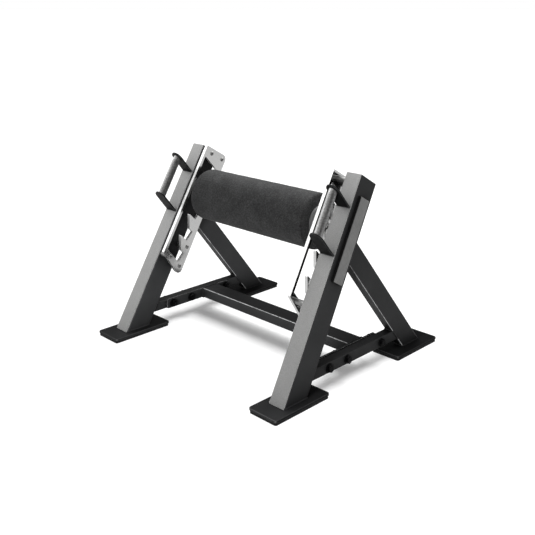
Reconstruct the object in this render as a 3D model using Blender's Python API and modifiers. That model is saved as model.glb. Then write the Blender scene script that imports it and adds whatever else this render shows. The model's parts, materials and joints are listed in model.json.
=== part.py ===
"""Roman chair with a foam roller that rests in notched plates between two leaning uprights.

Metres, +Z up, +X to the user's right, +Y to the back. The origin is on the floor, under the middle of the feet.
Pieces on an upright are placed in its own axes: X across, Y square to its front face (to the back), Z along it.
"""
import math

import bmesh
import bpy
from mathutils import Vector

GAP = 0.0003                      # clearance between neighbouring solids
BEYOND = 0.1                      # how far a bar or a cutter runs past the face that trims it

# Side frames
SIDE_X = 0.326                    # middle plane of each side frame
UPRIGHT_WIDTH = 0.050
UPRIGHT_DEPTH = 0.075
UPRIGHT_WALL = 0.003
UPRIGHT_LEAN = math.radians(30)   # leans to the back
UPRIGHT_Y = -0.2991               # front face where it would meet the floor
UPRIGHT_TOP = 0.6226              # along the upright, from the floor
STRIP_THICKNESS = 0.002           # light steel strip on the front face
TUBE_CORNER = 0.003               # outer corner radius of every tube

STRUT_WIDTH = 0.030
STRUT_DEPTH = 0.060
STRUT_WALL = 0.0025
STRUT_LEAN = math.radians(40)     # leans to the front
STRUT_Y = 0.2262                  # lower face where it would meet the floor
STRUT_LENGTH = 0.52               # before its upper end is mitred

RAIL_LOW = 0.0413
RAIL_HIGH = 0.0693
RAIL_WALL = 0.0025

# Feet
PAD_THICKNESS = 0.0072
FOOT_LOW = 0.0075
FOOT_TOP = 0.0135
FOOT_WIDTH = 0.095
FOOT_CORNER = 0.008
PAD_INSET = 0.002
FOOT_SPANS = {"front": (-0.3410, -0.1437), "rear": (0.1473, 0.3410)}

# Crossbar
CROSSBAR_Y = (0.0125, 0.0725)
CROSSBAR_Z = (0.0410, 0.0710)
CROSSBAR_WALL = 0.0025
END_PLATE_THICKNESS = 0.0057
END_PLATE_Y = (-0.1330, 0.1250)
END_PLATE_CORNER = 0.006
BOLT_Y = {"front": -0.1105, "middle": -0.0365, "rear": 0.1125}
BOLT_Z = (RAIL_LOW + RAIL_HIGH) / 2
BOLT_RADIUS = 0.006
BOLT_HOLE_RADIUS = 0.0065
HEX_ACROSS_FLATS = 0.018
BOLT_HEAD_HEIGHT = 0.0075
WASHER_RADIUS = 0.0118
WASHER_THICKNESS = 0.0022
NUT_HEIGHT = 0.009
BOLT_TAIL = 0.004                 # thread that shows past the nut
BOLT_CHAMFER = 0.001
HEAD_CORE_RADIUS = 0.007          # round core inside the bolt's hexagon
HEX_SINK = 0.0005                 # how far a hexagon sinks into its washer face

# Notch plates, in the upright's axes (Y to the back, Z along)
PLATE_IN = 0.260                  # inner face, from the middle plane of the object
PLATE_OUT = 0.270
PLATE_FRONT = -0.0175
PLATE_REAR = 0.078
PLATE_TOP = 0.6185
PLATE_LOW_FRONT = 0.266
PLATE_LOW_REAR = 0.2185
PLATE_TOP_CORNER = 0.016
PLATE_LOW_CORNER = 0.014
PLATE_FRONT_CORNER = 0.001
WINDOW_FRONT = -0.0085
WINDOW_TOP = 0.5850
WINDOW_LOW = 0.2800
WINDOW_CORNER = 0.002
SEAT_CORNER = 0.001
HOOK_TIP_CORNER = 0.0015
SEAT_COUNT = 5
SEAT_PITCH = 0.0688
SEAT_LOWEST = 0.2564
SEAT_Y = 0.052
SLOT_WIDTH = 0.033
RAMP_LENGTH = 0.0326
SLOT_RISE = math.radians(45)      # every slot runs forwards and up at this angle
ROLLER_SEAT = 3                   # the seat that holds the roller, counted from the lowest, which is 0

# Studs that hold the notch plates
STUD_PLACES = {"top_front": (0.0125, 0.6025), "top_rear": (0.0625, 0.6025),
               "mid_rear": (0.0625, 0.3090), "low_rear": (0.0625, 0.2480)}
STUD_RADIUS = 0.008
STUD_SHANK_RADIUS = 0.004
STUD_HOLE_RADIUS = 0.0044
STUD_HEAD_RADIUS = 0.0065
STUD_HEAD_HEIGHT = 0.003
STUD_SOCKET_FLATS = 0.005
STUD_SOCKET_DEPTH = 0.002
STUD_CHAMFER = 0.001

# Handles
EAR_WIDTH = 0.044
EAR_THICKNESS = 0.005
EAR_TILT = math.radians(20)
EAR_ROOTS = {"lower": 0.3945, "upper": 0.5260}
GRIP_OFFSET = -0.0595             # the grip's axis, in front of the upright
GRIP_RADIUS = 0.0125

# Side covers
COVER_Y = (0.0185, 0.0570)
COVER_Z = (0.3370, 0.5685)
COVER_THICKNESS = 0.0072
TRIM_THICKNESS = 0.0015
TRIM_INSET = 0.0006
COVER_CORNER = 0.001

# Roller and axle
FOAM_RADIUS = 0.0776
FOAM_HALF_LENGTH = 0.231
FOAM_EDGE = 0.006
CORE_RADIUS = 0.0430
CORE_WALL = 0.0035
HUB_RIM = 0.005
HUB_DEPTH = 0.026
HUB_CHAMFER = 0.0015
HUB_LIP = 0.004                   # radial room between the axle and the hub's inner lip
BEARING_OUTER = 0.0275
BEARING_WIDTH = 0.013
AXLE_RADIUS = 0.015
AXLE_HALF_LENGTH = 0.282
AXLE_CHAMFER = 0.0015
COLLAR_RADIUS = 0.020
COLLAR_WIDTH = 0.0215
COLLAR_CHAMFER = 0.001

ROUND_STEPS = 32                  # sides of a large round piece
SMALL_STEPS = 16                  # sides of a fastener or a hole
FOAM_STEPS = 48
EDGE_BREAK = 0.0008               # bevel on flame-cut plates
SIDES = {"left": -1, "right": 1}


def clear_scene():
    for item in list(bpy.data.objects):
        bpy.data.objects.remove(item)


def new_collection(name):
    collection = bpy.data.collections.new(name)
    bpy.context.scene.collection.children.link(collection)
    return collection


def new_material(name, colour, roughness, metallic):
    material = bpy.data.materials.new(name)
    material.use_nodes = True
    shader = material.node_tree.nodes["Principled BSDF"]
    shader.inputs["Base Color"].default_value = (*colour, 1.0)
    shader.inputs["Roughness"].default_value = roughness
    shader.inputs["Metallic"].default_value = metallic
    return material


# ---------------------------------------------------------------- objects and cuts


def add_object(name, data, material, parent=None, location=(0, 0, 0), rotation=(0, 0, 0)):
    item = bpy.data.objects.new(name, data)
    item.location = location
    item.rotation_euler = rotation
    item.parent = parent
    if not data.materials:
        data.materials.append(material)
    parts.objects.link(item)
    return item


def add_axes(name, location, rotation=(0, 0, 0)):
    """An empty that carries a set of local axes."""
    item = bpy.data.objects.new(name, None)
    item.location = location
    item.rotation_euler = rotation
    item.empty_display_size = 0.05
    parts.objects.link(item)
    return item


def cut(target, mesh, operation="DIFFERENCE"):
    """Cuts the target with a mesh that is given in the target's own axes."""
    cutter = bpy.data.objects.new(target.name + "_cutter", mesh)
    cutter.parent = target.parent
    cutter.location = target.location
    cutter.rotation_euler = target.rotation_euler
    cutter.hide_render = True
    cutter.display_type = "WIRE"
    cutters.objects.link(cutter)
    modifier = target.modifiers.new("Cut", "BOOLEAN")
    modifier.operation = operation
    modifier.solver = "EXACT"
    modifier.object = cutter


def add_bevel(item, width, segments=2, angle=math.radians(40)):
    modifier = item.modifiers.new("Bevel", "BEVEL")
    modifier.width = width
    modifier.segments = segments
    modifier.limit_method = "ANGLE"
    modifier.angle_limit = angle


def baked(item):
    """The object's evaluated shape as a mesh; the object itself is removed."""
    bpy.context.view_layer.update()
    graph = bpy.context.evaluated_depsgraph_get()
    mesh = bpy.data.meshes.new_from_object(item.evaluated_get(graph))
    bpy.data.objects.remove(item)
    return mesh


def shade_round(mesh):
    mesh.shade_smooth()
    mesh.set_sharp_from_angle(angle=math.radians(35))


# ---------------------------------------------------------------- meshes


def to_mesh(shape, name):
    shape.normal_update()
    bmesh.ops.recalc_face_normals(shape, faces=shape.faces)
    mesh = bpy.data.meshes.new(name)
    shape.to_mesh(mesh)
    shape.free()
    return mesh


def bar_shape(low, high, along=None, corner=0.0):
    """A box between two corners; the four edges along one axis (0, 1 or 2) may be rounded."""
    low, high = Vector(low), Vector(high)
    shape = bmesh.new()
    bmesh.ops.create_cube(shape, size=1.0)
    bmesh.ops.scale(shape, vec=high - low, verts=shape.verts)
    bmesh.ops.translate(shape, vec=(high + low) / 2, verts=shape.verts)
    if along is not None:
        edges = [edge for edge in shape.edges
                 if abs((edge.verts[0].co - edge.verts[1].co).normalized()[along]) > 0.99]
        bmesh.ops.bevel(shape, geom=edges, offset=corner, segments=3, profile=0.5, affect="EDGES")
    return shape


def trim(shape, point, normal):
    """Removes what lies beyond a plane and closes the cut with one face."""
    everything = shape.verts[:] + shape.edges[:] + shape.faces[:]
    result = bmesh.ops.bisect_plane(shape, geom=everything, plane_co=point, plane_no=normal, clear_outer=True)
    rim = [item for item in result["geom_cut"] if isinstance(item, bmesh.types.BMEdge)]
    bmesh.ops.contextual_create(shape, geom=rim)


def cylinder_mesh(name, radius, low, high, axis="Z", steps=ROUND_STEPS, centre=(0, 0)):
    """A round bar along X or Z; centre holds the other two coordinates, in X, Y, Z order."""
    shape = bmesh.new()
    bmesh.ops.create_cone(shape, cap_ends=True, segments=steps, radius1=radius, radius2=radius,
                          depth=high - low)
    bmesh.ops.translate(shape, vec=(0, 0, (low + high) / 2), verts=shape.verts)
    if axis == "X":
        for vert in shape.verts:
            vert.co = Vector((vert.co.z, vert.co.x + centre[0], vert.co.y + centre[1]))
    else:
        bmesh.ops.translate(shape, vec=(*centre, 0), verts=shape.verts)
    return to_mesh(shape, name)


def turned_mesh(name, profile, steps=ROUND_STEPS):
    """A closed turned shape about Z; profile is a list of (radius, height) points.

    A profile that starts and ends at radius 0 is solid, and any other one is a ring.
    """
    shape = bmesh.new()
    verts = [shape.verts.new((radius, 0, height)) for radius, height in profile]
    edges = [shape.edges.new(pair) for pair in zip(verts, verts[1:])]
    if profile[0][0] > 0:
        edges.append(shape.edges.new((verts[-1], verts[0])))
    bmesh.ops.spin(shape, geom=verts + edges, cent=(0, 0, 0), axis=(0, 0, 1), angle=math.tau, steps=steps,
                   use_merge=True)
    bmesh.ops.remove_doubles(shape, verts=shape.verts, dist=0.00001)
    mesh = to_mesh(shape, name)
    shade_round(mesh)
    return mesh


def arc(centre, radius, start, end, steps):
    """Points along an arc, from one angle to another."""
    angles = [start + (end - start) * index / steps for index in range(steps + 1)]
    return [(centre[0] + radius * math.cos(angle), centre[1] + radius * math.sin(angle)) for angle in angles]


def circle(centre, radius, steps=SMALL_STEPS):
    return arc(centre, radius, 0, math.tau, steps)[:-1]


def rounded(corners, steps=5):
    """An outline from (x, y, corner radius) points; a radius of 0 keeps the corner sharp."""
    outline = []
    for index, (x, y, radius) in enumerate(corners):
        here = Vector((x, y))
        if radius == 0:
            outline.append((x, y))
            continue
        before = (Vector(corners[index - 1][:2]) - here).normalized()
        after = (Vector(corners[(index + 1) % len(corners)][:2]) - here).normalized()
        half = before.angle(after) / 2
        centre = here + (before + after).normalized() * radius / math.sin(half)
        first = here + before * radius / math.tan(half) - centre
        last = here + after * radius / math.tan(half) - centre
        start = math.atan2(first.y, first.x)
        sweep = math.remainder(math.atan2(last.y, last.x) - start, math.tau)
        outline += arc(centre, radius, start, start + sweep, steps)
    return outline


def plate_mesh(name, outlines, thickness):
    """A flat plate in X and Y, centred on Z = 0; outlines after the first are holes."""
    curve = bpy.data.curves.new(name, "CURVE")
    curve.dimensions = "2D"
    curve.fill_mode = "BOTH"
    curve.extrude = thickness / 2
    for outline in outlines:
        spline = curve.splines.new("POLY")
        spline.points.add(len(outline) - 1)
        spline.use_cyclic_u = True
        for point, (x, y) in zip(spline.points, outline):
            point.co = (x, y, 0, 1)
    item = bpy.data.objects.new(name, curve)
    parts.objects.link(item)
    flat = baked(item)
    bpy.data.curves.remove(curve)
    shape = bmesh.new()
    shape.from_mesh(flat)
    bpy.data.meshes.remove(flat)
    bmesh.ops.remove_doubles(shape, verts=shape.verts, dist=0.00001)
    bmesh.ops.dissolve_limit(shape, angle_limit=math.radians(1), verts=shape.verts, edges=shape.edges)
    return to_mesh(shape, name)


def rectangle(low, high, corner):
    return rounded([(low[0], low[1], corner), (high[0], low[1], corner),
                    (high[0], high[1], corner), (low[0], high[1], corner)])


# ---------------------------------------------------------------- side frames

UPRIGHT_BACK_NORMAL = Vector((0, math.cos(UPRIGHT_LEAN), -math.sin(UPRIGHT_LEAN)))
UPRIGHT_BACK_POINT = Vector((0, UPRIGHT_Y, 0)) + UPRIGHT_BACK_NORMAL * (UPRIGHT_DEPTH + GAP)
STRUT_LOW_NORMAL = Vector((0, -math.cos(STRUT_LEAN), -math.sin(STRUT_LEAN)))
STRUT_LOW_POINT = Vector((0, STRUT_Y, 0)) + STRUT_LOW_NORMAL * GAP


def in_axes(vector, lean):
    """A world direction or offset in axes that lean to the back by the given angle."""
    cos, sin = math.cos(lean), math.sin(lean)
    return Vector((vector[0], vector[1] * cos - vector[2] * sin, vector[1] * sin + vector[2] * cos))


def floor_trim(shape, lean):
    """Trims a leaning piece level, just above the foot plate."""
    trim(shape, in_axes(Vector((0, 0, FOOT_TOP + GAP)), lean), in_axes(Vector((0, 0, -1)), lean))


def make_upright(name, axes):
    half = UPRIGHT_WIDTH / 2
    front = STRIP_THICKNESS + GAP
    shape = bar_shape((-half, front, -BEYOND), (half, UPRIGHT_DEPTH, UPRIGHT_TOP), along=2, corner=TUBE_CORNER)
    floor_trim(shape, UPRIGHT_LEAN)
    upright = add_object(name, to_mesh(shape, name), powder_black, axes)
    wall = UPRIGHT_WALL
    low = (-half + wall, front + wall, -2 * BEYOND)
    high = (half - wall, UPRIGHT_DEPTH - wall, UPRIGHT_TOP - wall)
    cut(upright, to_mesh(bar_shape(low, high), name + "_bore"))


def make_front_strip(name, axes):
    half = UPRIGHT_WIDTH / 2
    shape = bar_shape((-half, 0, -BEYOND), (half, STRIP_THICKNESS, UPRIGHT_TOP))
    floor_trim(shape, UPRIGHT_LEAN)
    strip = add_object(name, to_mesh(shape, name), silver_strip, axes)
    add_bevel(strip, 0.0005, segments=1)


def make_strut(name, axes):
    half = STRUT_WIDTH / 2
    shape = bar_shape((-half, 0, -BEYOND), (half, STRUT_DEPTH, STRUT_LENGTH), along=2, corner=TUBE_CORNER)
    floor_trim(shape, -STRUT_LEAN)
    meeting_point = in_axes(UPRIGHT_BACK_POINT - Vector((0, STRUT_Y, 0)), -STRUT_LEAN)
    trim(shape, meeting_point, in_axes(-UPRIGHT_BACK_NORMAL, -STRUT_LEAN))
    strut = add_object(name, to_mesh(shape, name), powder_black, axes)
    wall = STRUT_WALL
    low = (-half + wall, wall, -2 * BEYOND)
    high = (half - wall, STRUT_DEPTH - wall, STRUT_LENGTH + BEYOND)
    cut(strut, to_mesh(bar_shape(low, high), name + "_bore"))


def make_side_rail(name, side):
    half = STRUT_WIDTH / 2
    shape = bar_shape((-half, UPRIGHT_Y, RAIL_LOW), (half, STRUT_Y, RAIL_HIGH), along=1, corner=TUBE_CORNER)
    trim(shape, UPRIGHT_BACK_POINT, -UPRIGHT_BACK_NORMAL)
    trim(shape, STRUT_LOW_POINT, -STRUT_LOW_NORMAL)
    rail = add_object(name, to_mesh(shape, name), powder_black, location=(side * SIDE_X, 0, 0))
    wall = RAIL_WALL
    low = (-half + wall, UPRIGHT_Y - BEYOND, RAIL_LOW + wall)
    high = (half - wall, STRUT_Y + BEYOND, RAIL_HIGH - wall)
    cut(rail, to_mesh(bar_shape(low, high), name + "_bore"))
    for y in BOLT_Y.values():
        hole = cylinder_mesh(name + "_hole", BOLT_HOLE_RADIUS, -BEYOND, BEYOND, "X", SMALL_STEPS, (y, BOLT_Z))
        cut(rail, hole)


def make_foot(end, side_name, side):
    low_y, high_y = FOOT_SPANS[end]
    half = FOOT_WIDTH / 2
    middle = (side * SIDE_X, 0, (FOOT_LOW + FOOT_TOP) / 2)
    name = f"foot_plate_{end}_{side_name}"
    outline = rectangle((-half, low_y), (half, high_y), FOOT_CORNER)
    plate = add_object(name, plate_mesh(name, [outline], FOOT_TOP - FOOT_LOW), powder_black, location=middle)
    add_bevel(plate, EDGE_BREAK, segments=1)
    name = f"foot_pad_{end}_{side_name}"
    low, high = (-half + PAD_INSET, low_y + PAD_INSET), (half - PAD_INSET, high_y - PAD_INSET)
    outline = rectangle(low, high, FOOT_CORNER - PAD_INSET)
    middle = (side * SIDE_X, 0, PAD_THICKNESS / 2)
    add_object(name, plate_mesh(name, [outline], PAD_THICKNESS), rubber, location=middle)


# ---------------------------------------------------------------- crossbar and its bolts


def make_crossbar():
    half = SIDE_X - STRUT_WIDTH / 2 - 2 * GAP - END_PLATE_THICKNESS
    low = (-half, CROSSBAR_Y[0], CROSSBAR_Z[0])
    high = (half, CROSSBAR_Y[1], CROSSBAR_Z[1])
    shape = bar_shape(low, high, along=0, corner=TUBE_CORNER)
    crossbar = add_object("crossbar", to_mesh(shape, "crossbar"), powder_black)
    wall = CROSSBAR_WALL
    low = (-half - BEYOND, CROSSBAR_Y[0] + wall, CROSSBAR_Z[0] + wall)
    high = (half + BEYOND, CROSSBAR_Y[1] - wall, CROSSBAR_Z[1] - wall)
    cut(crossbar, to_mesh(bar_shape(low, high), "crossbar_bore"))


def make_end_plate(name, side):
    outline = rectangle((END_PLATE_Y[0], CROSSBAR_Z[0]), (END_PLATE_Y[1], CROSSBAR_Z[1]), END_PLATE_CORNER)
    holes = [circle((y, BOLT_Z), BOLT_HOLE_RADIUS) for y in BOLT_Y.values()]
    x = SIDE_X - STRUT_WIDTH / 2 - GAP - END_PLATE_THICKNESS / 2
    mesh = plate_mesh(name, [outline] + holes, END_PLATE_THICKNESS)
    add_object(name, mesh, powder_black, location=(side * x, 0, 0), rotation=(math.pi / 2, 0, math.pi / 2))


def hexagon_mesh(name, low, high, flats=HEX_ACROSS_FLATS):
    return cylinder_mesh(name, flats / 2 / math.cos(math.pi / 6), low, high, steps=6)


def bolt_mesh():
    """A hex bolt along Z: the head's bearing face is at 0 and the shank runs to -Z."""
    length = STRUT_WIDTH + END_PLATE_THICKNESS + NUT_HEIGHT + WASHER_THICKNESS + BOLT_TAIL + 3 * GAP
    washer = WASHER_THICKNESS
    core = washer + BOLT_HEAD_HEIGHT / 2
    profile = [(0, core), (HEAD_CORE_RADIUS, core), (HEAD_CORE_RADIUS, washer), (WASHER_RADIUS, washer),
               (WASHER_RADIUS, 0), (BOLT_RADIUS, 0), (BOLT_RADIUS, -length + BOLT_CHAMFER),
               (BOLT_RADIUS - BOLT_CHAMFER, -length), (0, -length)]
    item = bpy.data.objects.new("bolt", turned_mesh("bolt_shank", profile, SMALL_STEPS))
    parts.objects.link(item)
    head = hexagon_mesh("bolt_head", washer - HEX_SINK, washer + BOLT_HEAD_HEIGHT)
    cut(item, head, "UNION")
    mesh = baked(item)
    shade_round(mesh)
    return mesh


def nut_mesh():
    """A hex nut with a washer face, along Z from 0 to -Z."""
    washer = WASHER_THICKNESS
    inner = BOLT_RADIUS + GAP
    profile = [(inner, 0), (WASHER_RADIUS, 0), (WASHER_RADIUS, -washer), (inner, -washer)]
    item = bpy.data.objects.new("nut", turned_mesh("nut_washer", profile, SMALL_STEPS))
    parts.objects.link(item)
    cut(item, hexagon_mesh("nut_hex", -washer - NUT_HEIGHT, -washer + HEX_SINK), "UNION")
    cut(item, cylinder_mesh("nut_bore", inner, -BEYOND, BEYOND, steps=SMALL_STEPS))
    mesh = baked(item)
    shade_round(mesh)
    return mesh


def make_bolts():
    shared_bolt, shared_nut = bolt_mesh(), nut_mesh()
    head_x = SIDE_X + STRUT_WIDTH / 2 + GAP
    nut_x = SIDE_X - STRUT_WIDTH / 2 - 2 * GAP - END_PLATE_THICKNESS
    for side_name, side in SIDES.items():
        for place, y in BOLT_Y.items():
            turn = (0, side * math.pi / 2, 0)
            at_head, at_nut = (side * head_x, y, BOLT_Z), (side * nut_x, y, BOLT_Z)
            add_object(f"bolt_{place}_{side_name}", shared_bolt, black_zinc, None, at_head, turn)
            add_object(f"nut_{place}_{side_name}", shared_nut, black_zinc, None, at_nut, turn)


# ---------------------------------------------------------------- notch plates


def slot_directions():
    """Unit directions along a slot, out of its mouth, and across it, in the upright's Y and Z."""
    mouth = in_axes(Vector((0, -math.cos(SLOT_RISE), math.sin(SLOT_RISE))), UPRIGHT_LEAN)
    across = in_axes(Vector((0, math.sin(SLOT_RISE), math.cos(SLOT_RISE))), UPRIGHT_LEAN)
    return Vector(mouth.yz), Vector(across.yz)


def seat(index):
    """The lowest corner of a slot, where the axle rests."""
    return Vector((SEAT_Y, SEAT_LOWEST + index * SEAT_PITCH))


def meet(point_a, along_a, point_b, along_b):
    """Where two lines cross."""
    across = along_a.cross(along_b)
    return point_a + along_a * ((point_b - point_a).cross(along_b) / across)


def window_outline():
    """The window of a notch plate: a straight front edge, and a row of slots with hooks between them."""
    mouth, across = slot_directions()
    down = Vector(in_axes(Vector((0, 0, -1)), UPRIGHT_LEAN).yz)
    corners = [(WINDOW_FRONT, WINDOW_TOP, WINDOW_CORNER), (WINDOW_FRONT, WINDOW_LOW, WINDOW_CORNER)]
    for index in range(SEAT_COUNT):
        corner = seat(index)
        back = corner + across * SLOT_WIDTH
        if index > 0:
            tip = corner + mouth * RAMP_LENGTH
            under = seat(index - 1) + across * SLOT_WIDTH
            hook = meet(tip, down, under, mouth)
            corners += [(*hook, SEAT_CORNER), (*tip, HOOK_TIP_CORNER)]
        corners += [(*corner, SEAT_CORNER), (*back, SEAT_CORNER)]
    return rounded(corners, steps=2)


def plate_outline():
    corners = [(PLATE_FRONT, PLATE_TOP, PLATE_FRONT_CORNER), (PLATE_FRONT, PLATE_LOW_FRONT, PLATE_FRONT_CORNER),
               (PLATE_REAR, PLATE_LOW_REAR, PLATE_LOW_CORNER), (PLATE_REAR, PLATE_TOP, PLATE_TOP_CORNER)]
    return rounded(corners)


def make_notch_plate(name, axes, side):
    holes = [circle(place, STUD_HOLE_RADIUS) for place in STUD_PLACES.values()]
    mesh = plate_mesh(name, [plate_outline(), window_outline()] + holes, PLATE_OUT - PLATE_IN)
    x = side * ((PLATE_IN + PLATE_OUT) / 2 - SIDE_X)
    add_object(name, mesh, stainless, axes, (x, 0, 0), (math.pi / 2, 0, math.pi / 2))


def stud_mesh():
    """A spacer with its screw, along Z: the head's outer face is at the top and the spacer's foot at 0."""
    spacer = SIDE_X - UPRIGHT_WIDTH / 2 - PLATE_OUT - 2 * GAP
    plate = PLATE_OUT - PLATE_IN + 2 * GAP
    top = spacer + plate + STUD_HEAD_HEIGHT
    profile = [(0, top), (STUD_HEAD_RADIUS - STUD_CHAMFER, top), (STUD_HEAD_RADIUS, top - STUD_CHAMFER),
               (STUD_HEAD_RADIUS, spacer + plate), (STUD_SHANK_RADIUS, spacer + plate),
               (STUD_SHANK_RADIUS, spacer), (STUD_RADIUS, spacer), (STUD_RADIUS, 0), (0, 0)]
    item = bpy.data.objects.new("stud", turned_mesh("stud_body", profile, SMALL_STEPS))
    parts.objects.link(item)
    cut(item, hexagon_mesh("stud_socket", top - STUD_SOCKET_DEPTH, top + BEYOND, STUD_SOCKET_FLATS))
    mesh = baked(item)
    shade_round(mesh)
    return mesh


def make_studs(axes, side_name, side, shared):
    x = side * (-UPRIGHT_WIDTH / 2 - GAP)
    for place, (y, z) in STUD_PLACES.items():
        name = f"plate_stud_{place}_{side_name}"
        add_object(name, shared, steel, axes, (x, y, z), (0, -side * math.pi / 2, 0))


# ---------------------------------------------------------------- handles and side covers


def ear_mesh(name):
    """A tongue in the upright's axes, from its root at the front strip out to its round tip."""
    half = EAR_WIDTH / 2
    reach = -GRIP_OFFSET / math.cos(EAR_TILT)
    tongue = [(half, -EAR_WIDTH)] + arc((0, reach), half, 0, math.pi, 14) + [(-half, -EAR_WIDTH)]
    flat = plate_mesh(name, [tongue], EAR_THICKNESS)
    shape = bmesh.new()
    shape.from_mesh(flat)
    bpy.data.meshes.remove(flat)
    out = Vector((0, -math.cos(EAR_TILT), math.sin(EAR_TILT)))
    up = Vector((0, math.sin(EAR_TILT), math.cos(EAR_TILT)))
    for vert in shape.verts:
        x, y, z = vert.co
        vert.co = Vector((x, 0, 0)) + out * y + up * (z + EAR_THICKNESS / 2)
    trim(shape, Vector((0, -GAP, 0)), Vector((0, 1, 0)))
    return to_mesh(shape, name)


def make_handle(axes, side_name):
    for level, root in EAR_ROOTS.items():
        name = f"handle_ear_{level}_{side_name}"
        ear = add_object(name, ear_mesh(name), powder_black, axes, (0, 0, root))
        add_bevel(ear, EDGE_BREAK, segments=1)
    name = f"handle_grip_{side_name}"
    shape = bmesh.new()
    length = UPRIGHT_TOP - EAR_ROOTS["lower"]
    bmesh.ops.create_cone(shape, cap_ends=True, segments=ROUND_STEPS, radius1=GRIP_RADIUS, radius2=GRIP_RADIUS,
                          depth=length)
    bmesh.ops.translate(shape, vec=(0, GRIP_OFFSET, UPRIGHT_TOP - length / 2), verts=shape.verts)
    up = Vector((0, math.sin(EAR_TILT), math.cos(EAR_TILT)))
    trim(shape, Vector((0, 0, EAR_ROOTS["lower"])) + up * (EAR_THICKNESS + GAP), -up)
    trim(shape, Vector((0, 0, EAR_ROOTS["upper"])) - up * GAP, up)
    mesh = to_mesh(shape, name)
    shade_round(mesh)
    add_object(name, mesh, knurled_steel, axes)


def make_side_cover(axes, side_name, side):
    low, high = (COVER_Y[0], COVER_Z[0]), (COVER_Y[1], COVER_Z[1])
    inner = UPRIGHT_WIDTH / 2 + GAP
    name = f"side_cover_{side_name}"
    mesh = plate_mesh(name, [rectangle(low, high, COVER_CORNER)], COVER_THICKNESS)
    turn = (math.pi / 2, 0, math.pi / 2)
    add_object(name, mesh, matte_plastic, axes, (side * (inner + COVER_THICKNESS / 2), 0, 0), turn)
    name = f"side_trim_{side_name}"
    low = (low[0] + TRIM_INSET, low[1] + TRIM_INSET)
    high = (high[0] - TRIM_INSET, high[1] - TRIM_INSET)
    mesh = plate_mesh(name, [rectangle(low, high, COVER_CORNER)], TRIM_THICKNESS)
    x = side * (inner + COVER_THICKNESS + GAP + TRIM_THICKNESS / 2)
    add_object(name, mesh, silver_strip, axes, (x, 0, 0), turn)


# ---------------------------------------------------------------- roller and axle


def axle_place():
    """The axle's centre in the world, resting in its seat."""
    mouth, across = slot_directions()
    centre = seat(ROLLER_SEAT) + (mouth + across) * (AXLE_RADIUS + GAP)
    offset = in_axes(Vector((0, centre.x, centre.y)), -UPRIGHT_LEAN)
    return Vector((0, UPRIGHT_Y + offset.y, offset.z))


def make_foam(axes):
    half, edge, inner = FOAM_HALF_LENGTH, FOAM_EDGE, CORE_RADIUS + GAP
    top = arc((FOAM_RADIUS - edge, half - edge), edge, math.pi / 2, 0, 3)
    bottom = arc((FOAM_RADIUS - edge, edge - half), edge, 0, -math.pi / 2, 3)
    profile = [(inner, half)] + top + bottom + [(inner, -half)]
    mesh = turned_mesh("foam_sleeve", profile, FOAM_STEPS)
    add_object("foam_sleeve", mesh, foam, axes, (0, 0, 0), LIE_ALONG_X)


def make_core_tube(axes):
    half, inner = FOAM_HALF_LENGTH, CORE_RADIUS - CORE_WALL
    profile = [(inner, half), (CORE_RADIUS, half), (CORE_RADIUS, -half), (inner, -half)]
    add_object("core_tube", turned_mesh("core_tube", profile), core_grey, axes, (0, 0, 0), LIE_ALONG_X)


def make_hubs(axes):
    """Each hub is a rim over the core tube's end, a spigot inside it, and a pocket for the bearing."""
    face = FOAM_HALF_LENGTH + GAP
    outer = face + HUB_RIM
    spigot = CORE_RADIUS - CORE_WALL - GAP
    pocket = BEARING_OUTER + GAP
    lip = AXLE_RADIUS + HUB_LIP
    depth = outer - BEARING_WIDTH - 2 * GAP
    profile = [(pocket, outer), (CORE_RADIUS - HUB_CHAMFER, outer), (CORE_RADIUS, outer - HUB_CHAMFER),
               (CORE_RADIUS, face),
               (spigot, face), (spigot, face - HUB_DEPTH), (lip, face - HUB_DEPTH), (lip, depth), (pocket, depth)]
    mesh = turned_mesh("hub", profile)
    ring = [(AXLE_RADIUS + GAP, outer - GAP), (BEARING_OUTER, outer - GAP), (BEARING_OUTER, depth + GAP),
            (AXLE_RADIUS + GAP, depth + GAP)]
    bearing = turned_mesh("bearing", ring)
    for side_name, side in SIDES.items():
        turn = (0, side * math.pi / 2, 0)
        add_object(f"roller_hub_{side_name}", mesh, hub_grey, axes, (0, 0, 0), turn)
        add_object(f"roller_bearing_{side_name}", bearing, steel, axes, (0, 0, 0), turn)


def make_axle(axes):
    half, radius, cham = AXLE_HALF_LENGTH, AXLE_RADIUS, AXLE_CHAMFER
    profile = [(0, half), (radius - cham, half), (radius, half - cham), (radius, cham - half),
               (radius - cham, -half), (0, -half)]
    add_object("axle_shaft", turned_mesh("axle_shaft", profile), steel, axes, (0, 0, 0), LIE_ALONG_X)
    start = FOAM_HALF_LENGTH + HUB_RIM + 3 * GAP
    end = start + COLLAR_WIDTH
    ring = [(radius + GAP, end), (COLLAR_RADIUS - COLLAR_CHAMFER, end), (COLLAR_RADIUS, end - COLLAR_CHAMFER),
            (COLLAR_RADIUS, start + COLLAR_CHAMFER), (COLLAR_RADIUS - COLLAR_CHAMFER, start),
            (radius + GAP, start)]
    collar = turned_mesh("collar", ring)
    for side_name, side in SIDES.items():
        add_object(f"axle_collar_{side_name}", collar, black_zinc, axes, (0, 0, 0), (0, side * math.pi / 2, 0))


# ---------------------------------------------------------------- assembly

LIE_ALONG_X = (0, math.pi / 2, 0)

clear_scene()
parts = new_collection("roman_chair")
cutters = new_collection("roman_chair_cutters")

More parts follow.
